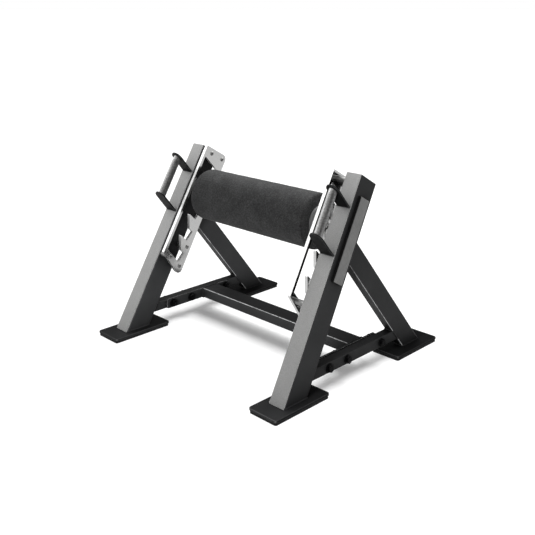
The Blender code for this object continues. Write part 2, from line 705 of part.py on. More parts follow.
powder_black = new_material("powder_black", (0.035, 0.036, 0.038), 0.45, 0.3)
silver_strip = new_material("silver_strip", (0.55, 0.55, 0.54), 0.35, 0.9)
stainless = new_material("stainless", (0.72, 0.72, 0.71), 0.22, 1.0)
steel = new_material("steel", (0.60, 0.60, 0.60), 0.30, 1.0)
knurled_steel = new_material("knurled_steel", (0.66, 0.66, 0.66), 0.32, 1.0)
black_zinc = new_material("black_zinc", (0.02, 0.02, 0.022), 0.35, 0.6)
rubber = new_material("rubber", (0.02, 0.02, 0.02), 0.8, 0.0)
matte_plastic = new_material("matte_plastic", (0.015, 0.015, 0.016), 0.5, 0.0)
foam = new_material("foam", (0.045, 0.045, 0.046), 0.9, 0.0)
core_grey = new_material("core_grey", (0.35, 0.35, 0.36), 0.5, 0.0)
hub_grey = new_material("hub_grey", (0.45, 0.45, 0.45), 0.4, 0.2)

shared_stud = stud_mesh()
for side_name, side in SIDES.items():
    upright_axes = add_axes(f"upright_axes_{side_name}", (side * SIDE_X, UPRIGHT_Y, 0), (-UPRIGHT_LEAN, 0, 0))
    strut_axes = add_axes(f"strut_axes_{side_name}", (side * SIDE_X, STRUT_Y, 0), (STRUT_LEAN, 0, 0))
    make_upright(f"upright_{side_name}", upright_axes)
    make_front_strip(f"front_strip_{side_name}", upright_axes)
    make_strut(f"strut_{side_name}", strut_axes)
    make_side_rail(f"side_rail_{side_name}", side)
    make_foot("front", side_name, side)
    make_foot("rear", side_name, side)
    make_end_plate(f"crossbar_plate_{side_name}", side)
    make_notch_plate(f"notch_plate_{side_name}", upright_axes, side)
    make_studs(upright_axes, side_name, side, shared_stud)
    make_handle(upright_axes, side_name)
    make_side_cover(upright_axes, side_name, side)
make_crossbar()
make_bolts()

axle_axes = add_axes("axle_axes", axle_place())
make_foam(axle_axes)
make_core_tube(axle_axes)
make_hubs(axle_axes)
make_axle(axle_axes)
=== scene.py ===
"""Looks of the roman chair: fine pieces, materials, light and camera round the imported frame.

Metres, in the frame's axes: +X across the station, +Y from the handles to the rear feet, +Z up.
"""
import json
import math
from collections import namedtuple

import bmesh
import bpy
import numpy as np
from mathutils import Matrix, Vector, noise
from mathutils.geometry import convex_hull_2d

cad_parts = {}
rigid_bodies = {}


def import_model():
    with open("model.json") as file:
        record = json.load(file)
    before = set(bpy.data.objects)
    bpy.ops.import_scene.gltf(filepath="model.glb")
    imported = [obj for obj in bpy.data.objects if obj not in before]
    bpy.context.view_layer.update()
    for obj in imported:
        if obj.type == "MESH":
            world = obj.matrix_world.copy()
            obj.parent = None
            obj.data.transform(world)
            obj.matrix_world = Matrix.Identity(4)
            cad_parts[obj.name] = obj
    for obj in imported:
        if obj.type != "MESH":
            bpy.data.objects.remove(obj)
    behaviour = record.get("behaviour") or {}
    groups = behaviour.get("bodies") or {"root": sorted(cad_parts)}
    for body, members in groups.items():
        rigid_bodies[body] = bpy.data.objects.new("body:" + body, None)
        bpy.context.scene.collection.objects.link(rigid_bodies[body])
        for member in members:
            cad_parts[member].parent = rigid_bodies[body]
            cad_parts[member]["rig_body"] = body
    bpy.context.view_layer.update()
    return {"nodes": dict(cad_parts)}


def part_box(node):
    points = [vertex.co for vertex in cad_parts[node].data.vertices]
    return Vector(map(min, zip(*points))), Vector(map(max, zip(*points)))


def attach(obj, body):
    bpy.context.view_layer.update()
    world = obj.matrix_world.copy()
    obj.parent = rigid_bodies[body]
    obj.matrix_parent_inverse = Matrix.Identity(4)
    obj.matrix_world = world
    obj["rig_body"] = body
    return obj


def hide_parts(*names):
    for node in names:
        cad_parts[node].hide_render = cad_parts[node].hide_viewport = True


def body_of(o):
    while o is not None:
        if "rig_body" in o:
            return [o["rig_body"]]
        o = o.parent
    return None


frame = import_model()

SIDES = {"left": -1, "right": 1}
BOLTS = ("front", "middle", "rear")
STUDS = ("top_front", "top_rear", "mid_rear", "low_rear")
X_AXIS = Vector((1, 0, 0))
Z_AXIS = Vector((0, 0, 1))
UPRIGHT_FRONT = Vector((0, -1, 0.6))  # roughly the way the uprights' front faces look
STRUT_FRONT = Vector((0, -1, -0.8))  # and the struts'
CLEARANCE = 0.0003  # room between neighbouring pieces
SHARP = math.radians(32)  # edges sharper than this stay crisp

# Camera: level, with the lens shifted down
CAMERA_PLACE = (1.6744, -1.6727, 0.9835)
CAMERA_TURN = math.radians(44.92)
CAMERA_LENS = 53.32
CAMERA_SHIFT = -0.4837

# Light
SOFTBOX_FROM = (-0.776, -0.137, 0.616)
SOFTBOX_INNER = math.cos(math.radians(12))
SOFTBOX_OUTER = math.cos(math.radians(46))
SOFTBOX_BRIGHTNESS = 3.0
CARD_FROM = (0.034, -0.978, 0.208)
CARD_INNER = math.cos(math.radians(28))
CARD_OUTER = math.cos(math.radians(48))
CARD_BRIGHTNESS = 0.85
ROOM_BRIGHTNESS = 0.05
ROOM_TOP = 0.22  # brightness straight above
ROOM_TOP_START = 0.55
SUN_FROM = (0.14, 0.78, 1.0)
SUN_ANGLE = math.radians(44)
SUN_STRENGTH = 3.4
CASTERS_ABOVE = 0.02  # only the frame between these heights shades the floor
CASTERS_BELOW = 0.12
FRONT_FILL_FROM = (0.74, -0.60, 0.18)
FRONT_FILL_ANGLE = math.radians(25)
FRONT_FILL_STRENGTH = 3.1
INNER_FILL_PLACE = (0.45, -1.15, 0.32)
INNER_FILL_AIM = (-0.33, 0.0, 0.25)
INNER_FILL_SIZE = 0.5
INNER_FILL_POWER = 50
ROOM_FILL = 0.50  # what diffuse surfaces get from every side
FLOOR_GLOW = 0.12  # keeps the far floor as white as the background

# Softer edges of the CAD nodes, and their materials
TUBE = {"bevel": 0.0004, "segments": 2, "sharp": math.radians(12)}
FINISHES = {
    "upright": ("upright_coat", TUBE),
    # the strip's edge material is a painted highlight
    "front_strip": ("strip", {"bevel": 0.0009, "edge": "painted_edge_highlight"}),
    "strut": ("strut_coat", TUBE),
    "side_rail": ("rail_coat", TUBE),
    "crossbar_plate": ("powder_coat", {"bevel": 0.0008}),
    "notch_plate": ("stainless", {}),
    "side_cover": ("plastic", {"bevel": 0.0006}),
    "side_trim": ("trim", {"bevel": 0.0003}),
    "handle_ear_lower": ("ear", {}),
    "handle_ear_upper": ("ear", {}),
    "foot_plate_front": ("foot_coat", {}),
    "foot_plate_rear": ("foot_coat", {}),
    "foot_pad_front": ("rubber", {"bevel": 0.0008}),
    "foot_pad_rear": ("rubber", {"bevel": 0.0008}),
}

# Welds
WELD_INSET = 0.0006  # how far off the joint the bead's middle runs
WELD_RADIUS = 0.0021
WELD_PITCH = 0.0024
WELD_STEP = 0.0008
WELD_SIDES = 10
EAR_WELD_RADIUS = 0.0013

# Roller and axle
FOAM_SIDES = 232
FOAM_STEP = 0.0021
FOAM_EDGE = 0.0055
FOAM_EDGE_STEPS = 5
FOAM_DENT = 0.00035
FOAM_PORE = 0.00016
CORE_WALL = 0.0035
CORE_CHAMFER = 0.0006
HUB_STEP = 0.0006
HUB_DISH = 0.0016
HUB_ROLL = 0.0022
HUB_SPIGOT = 0.0038  # how far the spigot lies inside the rim
HUB_LIP_RADIUS = 0.019
RACE_WALL = 0.0034
RACE_CHAMFER = 0.0006
SEAL_GAP = 0.0001
SEAL_SUNK = 0.0007
SEAL_RELIEF = 0.0003
AXLE_CHAMFER = 0.0015
AXLE_DRILL = 0.0022
AXLE_GROOVE = 0.0009
GROOVE_FROM_COLLAR = 0.0035
COLLAR_INNER_CHAMFER = 0.0005
COLLAR_OUTER_CHAMFER = 0.001
SET_SCREW_RADIUS = 0.003
SET_SCREW_FLATS = 0.0025
SET_SCREW_SUNK = 0.0006
SET_SCREW_SIDES = 36
SET_SCREW_TURN = math.radians(-50)

# Grips
KNURL_PITCH = 0.0030
KNURL_SLOPE = math.radians(30)
KNURL_DEPTH = 0.00065
KNURL_STEPS = 4  # points along each side of a diamond
KNURL_SHARPNESS = 0.8
GRIP_PLAIN = 0.0022
PLAIN_SHADE = 0.5  # the knurl's height, 0 to 1, on the plain bands

# Fasteners
TURNED_SIDES = 96
BOLT_SIDES = 72
STUD_SIDES = 60
BREAK_EDGE = 0.0003
WASHER_THICKNESS = 0.0022
HEX_FLATS = 0.018
HEX_CIRCLE = 0.95  # of the flats: the circle where the chamfer starts
HEX_CHAMFER = math.radians(30)
DIMPLE = (0.0052, 0.0046, 0.0004)  # in the bolt's head: two radii and a depth
THREAD_RADIUS = 0.006
THREAD_PITCH = 0.00175
THREAD_DEPTH = 0.0008
THREAD_STEPS = 8  # rings along each turn
THREAD_TAPER = 0.001
THREAD_STOP = 0.012  # from the nut's seat
NUT_COUNTERSINK = 0.0009
SOCKET_FLATS = 0.005
SOCKET_DEPTH = 0.002
SHANK_RADIUS = 0.0039
BUTTON_RADIUS = 0.0065
BUTTON_TOP = 0.0034
BUTTON_STEPS = 5
STUD_CHAMFER = 0.0006
FIFTH_STUD_RISE = 0.0145

# Floor
FLOOR_HALF = 400.0  # wide enough to run out of sight
FLOOR_DROP = 0.0005

Space = namedtuple("Space", "centre radius near far")


# -------- reading the frame


def node(name):
    return frame["nodes"][name]


def middle(name):
    low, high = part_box(name)
    return (low + high) / 2


def space(name):
    """A CAD node's centre moved to x = 0, half its height, and its least and greatest |x|."""
    low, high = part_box(name)
    near, far = sorted((abs(low.x), abs(high.x)))
    return Space(Vector((0, (low.y + high.y) / 2, (low.z + high.z) / 2)), (high.z - low.z) / 2, near, far)


def face_plane(name, towards):
    """A point on, and the normal of, a CAD node's outermost large face that looks towards a direction."""
    least = 0.7 * towards.length
    faces = [face for face in node(name).data.polygons if face.normal.dot(towards) > least]
    large = 0.3 * max(face.area for face in faces)
    faces = [face for face in faces if face.area >= large]
    outermost = max(faces, key=lambda face: face.normal.dot(face.center))
    return outermost.center.copy(), outermost.normal.copy()


def reach(name, direction):
    """How far a CAD node reaches along a unit direction: lowest and highest."""
    along = [direction.dot(vert.co) for vert in node(name).data.vertices]
    return min(along), max(along)


def outline(name, point, normal):
    """The outer outline where a plane cuts a CAD node, as points in order."""
    shape = bmesh.new()
    shape.from_mesh(node(name).data)
    everything = shape.verts[:] + shape.edges[:] + shape.faces[:]
    cut = bmesh.ops.bisect_plane(shape, geom=everything, plane_co=point, plane_no=normal)
    points = [item.co.copy() for item in cut["geom_cut"] if isinstance(item, bmesh.types.BMVert)]
    shape.free()
    across = normal.orthogonal().normalized()
    up = normal.cross(across).normalized()
    flat = [(across.dot(place), up.dot(place)) for place in points]
    return [points[index] for index in convex_hull_2d(flat)]


# -------- meshes


def add_object(name, data):
    item = bpy.data.objects.new(name, data)
    bpy.context.scene.collection.objects.link(item)
    return item


def finish_mesh(name, mesh, material, sharp=SHARP):
    """Points the faces outwards, shades them by angle, and puts the mesh in the scene."""
    shape = bmesh.new()
    shape.from_mesh(mesh)
    bmesh.ops.recalc_face_normals(shape, faces=shape.faces)
    shape.to_mesh(mesh)
    shape.free()
    mesh.shade_smooth()
    mesh.set_sharp_from_angle(angle=sharp)
    mesh.materials.append(materials[material])
    return add_object(name, mesh)


def skin(name, rings, material, loop=False, sharp=SHARP):
    """A closed mesh through rings of points: a loop of them, or else capped at both ends."""
    rings = np.asarray(rings, float)
    count, sides = rings.shape[:2]
    index = np.arange(count * sides).reshape(count, sides)
    lower = index if loop else index[:-1]
    upper = np.roll(index, -1, axis=0) if loop else index[1:]
    quads = np.stack([lower, np.roll(lower, -1, 1), np.roll(upper, -1, 1), upper], axis=-1)
    faces = quads.reshape(-1, 4).tolist()
    if not loop:
        faces += [index[0].tolist(), index[-1].tolist()]
    mesh = bpy.data.meshes.new(name)
    mesh.from_pydata(rings.reshape(-1, 3).tolist(), [], faces)
    return finish_mesh(name, mesh, material, sharp)


def round_ring(radius, height, sides):
    """One ring about Z; the radius and the height are numbers, or functions of the angle."""
    ring = []
    for index in range(sides):
        angle = math.tau * index / sides
        r = radius(angle) if callable(radius) else radius
        h = height(angle) if callable(height) else height
        ring.append((r * math.cos(angle), r * math.sin(angle), h))
    return ring


def turned(name, profile, material, turn, loop=False, sides=TURNED_SIDES):
    """A piece turned about Z from pairs of radius and height, then put in place by a matrix."""
    piece = skin(name, [round_ring(radius, height, sides) for radius, height in profile], material, loop)
    piece.data.transform(turn)
    return piece


def along_x(centre, side=1, spin=0.0):
    """The matrix that lays a piece made about Z along X, so that its +Z looks outwards on one side."""
    turn = Matrix.Rotation(side * math.pi / 2, 4, "Y") @ Matrix.Rotation(spin, 4, "Z")
    return Matrix.Translation(centre) @ turn


def arc(centre, radius, start, end, steps):
    angles = [start + (end - start) * index / steps for index in range(steps + 1)]
    return [(centre[0] + radius * math.cos(angle), centre[1] + radius * math.sin(angle)) for angle in angles]


def hexagon(flats):
    """The radius of a hexagon as a function of the angle."""
    return lambda angle: flats / 2 / math.cos(math.fmod(angle, math.pi / 3) - math.pi / 6)


def place(piece, body, slot, *nodes):
    """Puts a piece on a body and hides the CAD nodes that it stands for; slot, the finish's name, is not
    used.
    """
    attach(piece, body)
    if nodes:
        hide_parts(*nodes)


# -------- materials


class Nodes:
    """A node tree, and the calls that the materials and the studio's background share."""

    def __init__(self, tree):
        self.tree = tree

    def put(self, value, socket):
        """Links an output to a socket, or sets the socket's value; one number is a grey for a colour."""
        if isinstance(value, bpy.types.NodeSocket):
            self.tree.links.new(value, socket)
        elif socket.type == "RGBA":
            colour = (value,) * 3 if isinstance(value, (int, float)) else value
            socket.default_value = (*colour, 1.0)
        else:
            socket.default_value = value

    def add(self, kind, inputs=None, **settings):
        """A new node; inputs maps sockets' names or numbers to outputs or values."""
        made = self.tree.nodes.new("ShaderNode" + kind)
        for key, value in settings.items():
            setattr(made, key, value)
        for key, value in (inputs or {}).items():
            self.put(value, made.inputs[key])
        return made

    def math(self, operation, first, second=0.0):
        return self.add("Math", {0: first, 1: second}, operation=operation).outputs["Value"]

    def dot(self, first, second):
        made = self.add("VectorMath", {0: first, 1: second}, operation="DOT_PRODUCT")
        return made.outputs["Value"]


class Shader(Nodes):
    """A Principled material; its textures follow the piece."""

    def __init__(self, name, roughness, metallic, specular=0.5):
        self.material = bpy.data.materials.new(name)
        self.material.use_nodes = True
        super().__init__(self.material.node_tree)
        self.principled = self.tree.nodes["Principled BSDF"]
        self.set("Roughness", roughness)
        self.set("Metallic", metallic)
        self.set("Specular IOR Level", specular)
        self.place = self.add("TexCoord").outputs["Object"]

    def set(self, name, value):
        self.put(value, self.principled.inputs[name])

    def mapping(self, vector, kind="POINT", **inputs):
        made = self.add("Mapping", {"Vector": vector, **inputs}, vector_type=kind)
        return made.outputs["Vector"]

    def stretched(self, scale, tilt=0.0):
        """Texture coordinates turned about X by tilt and scaled along each axis."""
        return self.mapping(self.mapping(self.place, Rotation=(tilt, 0, 0)), Scale=scale)

    def noise(self, scale, detail=3.0, roughness=0.55, vector=None, distortion=0.0):
        inputs = {"Scale": scale, "Detail": detail, "Roughness": roughness, "Distortion": distortion}
        return self.add("TexNoise", {"Vector": vector or self.place, **inputs}).outputs["Fac"]

    def cells(self, scale):
        return self.add("TexVoronoi", {"Vector": self.place, "Scale": scale}).outputs["Distance"]

    def ramp(self, value, stops):
        """A colour ramp; stops are (position, grey or colour)."""
        made = self.add("ValToRGB", {"Fac": value})
        elements = made.color_ramp.elements
        while len(elements) < len(stops):
            elements.new(0.5)
        for element, (position, colour) in zip(elements, stops):
            colour = (colour,) * 3 if isinstance(colour, (int, float)) else colour
            element.position = position
            element.color = (*colour, 1.0)
        return made.outputs["Color"]

    def tones(self, value, low, high, start=0.3, end=0.7):
        """A ramp between two greys or colours."""
        return self.ramp(value, [(start, low), (end, high)])

    def mix(self, factor, first, second, blend="MIX"):
        made = self.add("Mix", data_type="RGBA", blend_type=blend)
        sockets = {item.identifier: item for item in (*made.inputs, *made.outputs)}
        for name, value in (("Factor_Float", factor), ("A_Color", first), ("B_Color", second)):
            self.put(value, sockets[name])
        return sockets["Result_Color"]

    def spread(self, value, low, high):
        """Maps 0..1 to low..high."""
        made = self.add("MapRange", {"Value": value, "To Min": low, "To Max": high})
        return made.outputs["Result"]

    def normal(self):
        return self.add("NewGeometry").outputs["Normal"]

    def edges(self, radius):
        """1 near the edges of the piece and 0 on its flats."""
        soft = self.add("Bevel", {"Radius": radius}, samples=4).outputs["Normal"]
        return self.ramp(self.dot(soft, self.normal()), [(0.82, 1.0), (0.985, 0.0)])

    def facing(self, tilt=0.0):
        """How squarely, 0 to 1, the surface faces along each of the piece's axes, turned about X by tilt."""
        to_piece = {"vector_type": "NORMAL", "convert_from": "WORLD", "convert_to": "OBJECT"}
        local = self.add("VectorTransform", {"Vector": self.normal()}, **to_piece)
        leaning = self.mapping(local.outputs["Vector"], "VECTOR", Rotation=(tilt, 0, 0))
        split = self.add("SeparateXYZ", {"Vector": leaning}).outputs
        return [self.math("ABSOLUTE", split[axis]) for axis in "XYZ"]

    def slanted(self, tilt):
        """1 where the surface looks halfway between two of those axes, as a tube's corners do."""
        across, along, up = self.facing(tilt)
        most = self.math("MAXIMUM", self.math("MAXIMUM", across, along), up)
        return self.ramp(most, [(0.80, 1.0), (0.965, 0.0)])

    def corners(self, distance, darkest):
        """Painted shade from ambient occlusion: 1 on open faces, falling to darkest deep in the corners
        between pieces.
        """
        made = self.add("AmbientOcclusion", {"Distance": distance}, samples=4)
        return self.ramp(made.outputs["AO"], [(0.35, darkest), (0.98, 1.0)])

    def bump(self, height, strength, distance):
        """Adds a bump layer on top of the ones already there."""
        made = self.add("Bump", {"Strength": strength, "Distance": distance, "Height": height})
        before = self.principled.inputs["Normal"].links
        if before:
            self.put(before[0].from_socket, made.inputs["Normal"])
        self.set("Normal", made.outputs["Normal"])

    def colour(self, value):
        self.set("Base Color", value)

    def rough(self, value, low, high):
        self.set("Roughness", self.spread(value, low, high))


def powder_coat(name, specular, tilt=0.0, corner_highlight_grey=0.0, wear_and_highlight_grey=0.26):
    """Satin black powder coat: orange peel, fine grain, painted shade in corners between pieces, edges paler
    from abrasion and a painted highlight, and painted highlights in patches along the tube corners.
    """
    made = Shader(name, 0.42, 0.0, specular)
    base = made.tones(made.noise(9, 4, 0.6), (0.0105, 0.0107, 0.0110), (0.0150, 0.0152, 0.0156))
    # Painted shade: the coat darkens deep in corners between pieces.
    base = made.mix(1.0, base, made.corners(0.11, 0.10), "MULTIPLY")
    # Edges paler: part abrasion, part painted highlight.
    wear_and_highlight_mask = made.math("MULTIPLY", made.edges(0.0014), made.tones(made.noise(60, 5), 0.35, 1.0, start=0.35))
    base = made.mix(wear_and_highlight_mask, base, (wear_and_highlight_grey, wear_and_highlight_grey, wear_and_highlight_grey * 1.01))
    # Painted highlight: pale lines in patches along the tube corners.
    if corner_highlight_grey:
        patches = made.tones(made.noise(38, 5, 0.65), 0.25, 1.0, end=0.6)
        corner_highlight_mask = made.math("MULTIPLY", made.slanted(tilt), patches)
        base = made.mix(corner_highlight_mask, base, (corner_highlight_grey, corner_highlight_grey, corner_highlight_grey * 1.01))
    made.colour(base)
    made.rough(made.noise(35, 5, 0.6), 0.34, 0.54)
    made.bump(made.noise(420, 2), 0.22, 0.0006)
    made.bump(made.noise(1500, 2), 0.30, 0.0002)
    return made.material


def painted_edge_highlight():
    """The broken edge of a strip, with a painted highlight: a far paler steel than its faces."""
    made = Shader("painted_edge_highlight", 0.40, 0.75)
    made.colour(made.tones(made.noise(240, 3), (0.62, 0.62, 0.615), (0.85, 0.85, 0.845)))
    made.rough(made.noise(400, 2), 0.34, 0.50)
    made.bump(made.noise(900, 2), 0.12, 0.0002)
    return made.material


def brushed_strip(lean):
    """Light steel strip: grain along its length, faint clouding, painted shade in corners between pieces,
    and edges painted paler as a highlight.
    """
    made = Shader("brushed_strip", 0.46, 0.92)
    along = made.stretched((1, 1, 0.03), -lean)
    grain = made.noise(900, 4, 0.7, along)
    speckle = made.noise(420, 3, 0.6)
    both = made.math("ADD", made.math("MULTIPLY", grain, 0.6), made.math("MULTIPLY", speckle, 0.4))
    base = made.tones(both, (0.215, 0.215, 0.213), (0.325, 0.325, 0.322), start=0.34, end=0.66)
    shade = made.tones(made.noise(14, 4, 0.6), 0.93, 1.0)
    flat = made.mix(1.0, base, shade, "MULTIPLY")
    # Painted shade: darker deep in corners between pieces.
    flat = made.mix(1.0, flat, made.corners(0.09, 0.6), "MULTIPLY")
    # Painted highlight: paler along the edges.
    made.colour(made.mix(made.edges(0.0009), flat, (0.42, 0.42, 0.417)))
    made.rough(grain, 0.42, 0.54)
    made.bump(grain, 0.14, 0.0002)
    made.bump(made.noise(900, 2), 0.08, 0.0003)
    return made.material


def stainless(lean):
    """Polished plate: near-mirror faces with faint brushing and smudges, striated laser-cut edges painted
    paler than the faces as a highlight.
    """
    made = Shader("stainless", 0.12, 1.0)
    cut_edge = made.ramp(made.facing()[0], [(0.55, 1.0), (0.8, 0.0)])
    grain = made.noise(1900, 3, 0.6, made.stretched((1, 1, 0.03), -lean))
    face = made.tones(grain, (0.62, 0.62, 0.615), (0.72, 0.72, 0.715))
    smudge = made.tones(made.noise(11, 5, 0.65), 0.92, 1.0, end=0.65)
    face = made.mix(1.0, face, smudge, "MULTIPLY")
    stripes = made.noise(1300, 2, 0.5, made.stretched((0.04, 1, 1)))
    # Painted highlight: the cut edges are paler than the faces.
    edge = made.tones(stripes, (0.74, 0.74, 0.735), (0.86, 0.86, 0.855))
    made.colour(made.mix(cut_edge, face, edge))
    face_rough = made.spread(made.noise(16, 5, 0.65), 0.08, 0.18)
    made.set("Roughness", made.mix(cut_edge, face_rough, 0.42))
    made.bump(grain, 0.04, 0.0002)
    made.bump(made.math("MULTIPLY", stripes, cut_edge), 0.15, 0.0002)
    return made.material


def turned_steel():
    """Bright steel with the fine rings a lathe leaves, and a few darker stains."""
    made = Shader("turned_steel", 0.24, 1.0)
    rings = made.noise(2400, 2, 0.5, made.stretched((1, 0.03, 0.03)))
    base = made.tones(rings, (0.46, 0.46, 0.455), (0.60, 0.60, 0.595))
    stain = made.tones(made.noise(45, 5, 0.6), 0.8, 1.0, start=0.35, end=0.6)
    made.colour(made.mix(1.0, base, stain, "MULTIPLY"))
    made.rough(made.noise(80, 4), 0.18, 0.34)
    made.bump(rings, 0.15, 0.0002)
    return made.material


def screw_steel():
    """Dull plated screws and spacers, mottled where the plating has greyed."""
    made = Shader("screw_steel", 0.42, 1.0)
    mottle = made.noise(160, 4, 0.6)
    made.colour(made.tones(mottle, (0.24, 0.24, 0.238), (0.38, 0.38, 0.376)))
    made.rough(made.noise(260, 3), 0.34, 0.52)
    made.bump(made.noise(1200, 2), 0.12, 0.0002)
    return made.material


def knurled_steel():
    """Plated steel, with painted shade, in patches, in the knurl's grooves."""
    made = Shader("knurled_steel", 0.3, 1.0)
    height = made.add("Attribute", attribute_name="knurl").outputs["Fac"]
    # Painted shade: the grooves are much darker than the ridges, in patches.
    patchy_groove_shade = made.tones(made.noise(70, 4), 0.45, 1.0, start=0.35)
    groove = made.mix(patchy_groove_shade, 0.05, 0.16)
    plate = made.tones(made.noise(230, 3), (0.34, 0.34, 0.337), (0.64, 0.64, 0.635), start=0.36, end=0.62)
    made.colour(made.mix(made.tones(height, 0.0, 1.0, start=0.12, end=0.62), groove, plate))
    made.rough(made.noise(150, 3), 0.32, 0.46)
    made.bump(made.noise(2600, 2), 0.10, 0.0002)
    return made.material


def black_zinc():
    """Black-plated steel, with a painted highlight that makes its corners slightly paler."""
    made = Shader("black_zinc", 0.40, 0.0, 0.06)
    base = made.tones(made.noise(120, 4), (0.003, 0.003, 0.0033), (0.006, 0.006, 0.0066))
    # Painted highlight on the corners.
    made.colour(made.mix(made.edges(0.0006), base, (0.035, 0.035, 0.036)))
    made.rough(made.noise(300, 3), 0.32, 0.50)
    made.bump(made.noise(1400, 2), 0.12, 0.0002)
    return made.material


def foot_rubber():
    """Matte rubber with a pebbled skin and a little dust."""
    made = Shader("foot_rubber", 0.78, 0.0, 0.3)
    dust = made.tones(made.noise(40, 5, 0.65), 0.0, 0.6, start=0.4, end=0.8)
    made.colour(made.mix(dust, (0.008, 0.008, 0.008), (0.020, 0.0195, 0.019)))
    made.rough(made.noise(90, 4), 0.68, 0.9)
    made.bump(made.cells(900), 0.35, 0.0003)
    return made.material


def black_plastic():
    """Moulded plastic with a fine spark-eroded texture."""
    made = Shader("black_plastic", 0.55, 0.0, 0.25)
    made.colour(made.tones(made.noise(30, 4), (0.006, 0.006, 0.0062), (0.010, 0.010, 0.0104)))
    made.rough(made.noise(500, 3), 0.48, 0.66)
    made.bump(made.noise(1700, 3, 0.7), 0.3, 0.0002)
    return made.material


def cover_trim(lean):
    """Brushed grey face of the side covers, with short crossing scratches."""
    made = Shader("cover_trim", 0.42, 0.9)
    along = made.noise(900, 4, 0.7, made.stretched((1, 1, 0.04), -lean))
    across = made.noise(1100, 3, 0.6, made.stretched((1, 0.05, 1), -lean))
    grain = made.mix(0.3, along, across)
    base = made.tones(grain, (0.19, 0.19, 0.188), (0.31, 0.31, 0.307), start=0.32, end=0.68)
    clouds = made.tones(made.noise(25, 4, 0.6), 0.88, 1.0)
    made.colour(made.mix(1.0, base, clouds, "MULTIPLY"))
    made.rough(along, 0.36, 0.50)
    made.bump(grain, 0.14, 0.0002)
    return made.material


def foam_skin():
    """Dense closed-cell foam: a dull speckled skin with fine cells and faint streaks."""
    made = Shader("foam_skin", 0.85, 0.0, 0.22)
    patches = made.noise(24, 4, 0.6, distortion=0.5)
    speckle = made.noise(230, 2, 0.5)
    grit = made.noise(520, 2, 0.5)
    value = made.math("ADD", made.math("MULTIPLY", patches, 0.26), made.math("MULTIPLY", speckle, 0.44))
    value = made.math("ADD", value, made.math("MULTIPLY", grit, 0.30))
    dark, mid, light = (0.018, 0.0182, 0.0185), (0.042, 0.0423, 0.0428), (0.080, 0.0804, 0.081)
    greys = [(0.38, dark), (0.50, mid), (0.62, light)]
    made.colour(made.ramp(value, greys))
    made.rough(speckle, 0.74, 0.95)
    made.bump(made.cells(620), 0.35, 0.0005)
    made.bump(made.noise(1500, 3), 0.25, 0.0003)
    made.set("Sheen Weight", 0.05)
    made.set("Sheen Roughness", 0.6)
    return made.material


def grey_plastic(name, dark, light):
    """Moulded grey plastic, slightly blotchy, with a fine satin texture."""
    made = Shader(name, 0.42, 0.0, 0.45)
    made.colour(made.tones(made.noise(35, 4), (dark,) * 3, (light,) * 3))
    made.rough(made.noise(220, 3), 0.36, 0.54)
    made.bump(made.noise(900, 3), 0.16, 0.0003)
    return made.material


def bearing_seal():
    """Black rubber seal of a ball bearing, with a faint moulded ring pattern."""
    made = Shader("bearing_seal", 0.55, 0.0, 0.35)
    made.colour(made.tones(made.noise(200, 3), 0.010, 0.020))
    made.rough(made.noise(400, 3), 0.45, 0.7)
    made.bump(made.noise(1500, 2), 0.2, 0.0002)
    return made.material


# -------- CAD nodes


def new_group(name):
    """An empty modifier group: the group, its incoming geometry and the socket for its result."""
    group = bpy.data.node_groups.new(name, "GeometryNodeTree")
    for direction in ("INPUT", "OUTPUT"):
        group.interface.new_socket("Geometry", in_out=direction, socket_type="NodeSocketGeometry")
    return group, group.nodes.new("NodeGroupInput").outputs[0], group.nodes.new("NodeGroupOutput").inputs[0]


def clean_group():
    """Joins the frame's loose triangles and drops their stored normals."""
    group, start, end = new_group("join_triangles")
    merge = group.nodes.new("GeometryNodeMergeByDistance")
    merge.inputs["Distance"].default_value = 0.00001
    forget = group.nodes.new("GeometryNodeRemoveAttribute")
    forget.inputs["Name"].default_value = "custom_normal"
    group.links.new(start, forget.inputs["Geometry"])
    group.links.new(forget.outputs["Geometry"], merge.inputs["Geometry"])
    group.links.new(merge.outputs["Geometry"], end)
    return group


def shade_group(angle):
    """Shades smooth, apart from edges sharper than an angle."""
    group, start, end = new_group("shade_by_angle")
    faces = group.nodes.new("GeometryNodeSetShadeSmooth")
    faces.domain = "FACE"
    edges = group.nodes.new("GeometryNodeSetShadeSmooth")
    edges.domain = "EDGE"
    edge_angle = group.nodes.new("GeometryNodeInputMeshEdgeAngle")
    flat = group.nodes.new("FunctionNodeCompare")
    flat.operation = "LESS_THAN"
    flat.inputs["B"].default_value = angle
    group.links.new(start, faces.inputs["Geometry"])
    group.links.new(faces.outputs["Geometry"], edges.inputs["Geometry"])
    group.links.new(edge_angle.outputs["Unsigned Angle"], flat.inputs["A"])
    group.links.new(flat.outputs["Result"], edges.inputs["Shade Smooth"])
    group.links.new(edges.outputs["Geometry"], end)
    return group


def dress(name, material, bevel=0.0, segments=3, edge=None, sharp=math.radians(34)):
    """Gives a CAD node its material, clean shading and softened edges, by modifiers only."""
    item = node(name)
    item.material_slots[0].link = "OBJECT"
    item.material_slots[0].material = materials[material]
    item.modifiers.new("Join", "NODES").node_group = join_triangles
    flatten = item.modifiers.new("Flatten", "DECIMATE")
    flatten.decimate_type = "DISSOLVE"
    flatten.angle_limit = math.radians(0.5)
    if bevel:
        soften = item.modifiers.new("Soften", "BEVEL")
        soften.width = bevel
        soften.segments = segments
        soften.limit_method = "ANGLE"
        soften.angle_limit = sharp
        if edge:
            item.data.materials.append(materials[edge])
            soften.material = 1
    item.modifiers.new("Shade", "NODES").node_group = shade_by_angle
    weigh = item.modifiers.new("Weigh", "WEIGHTED_NORMAL")
    weigh.keep_sharp = True
    weigh.weight = 100


# -------- welds


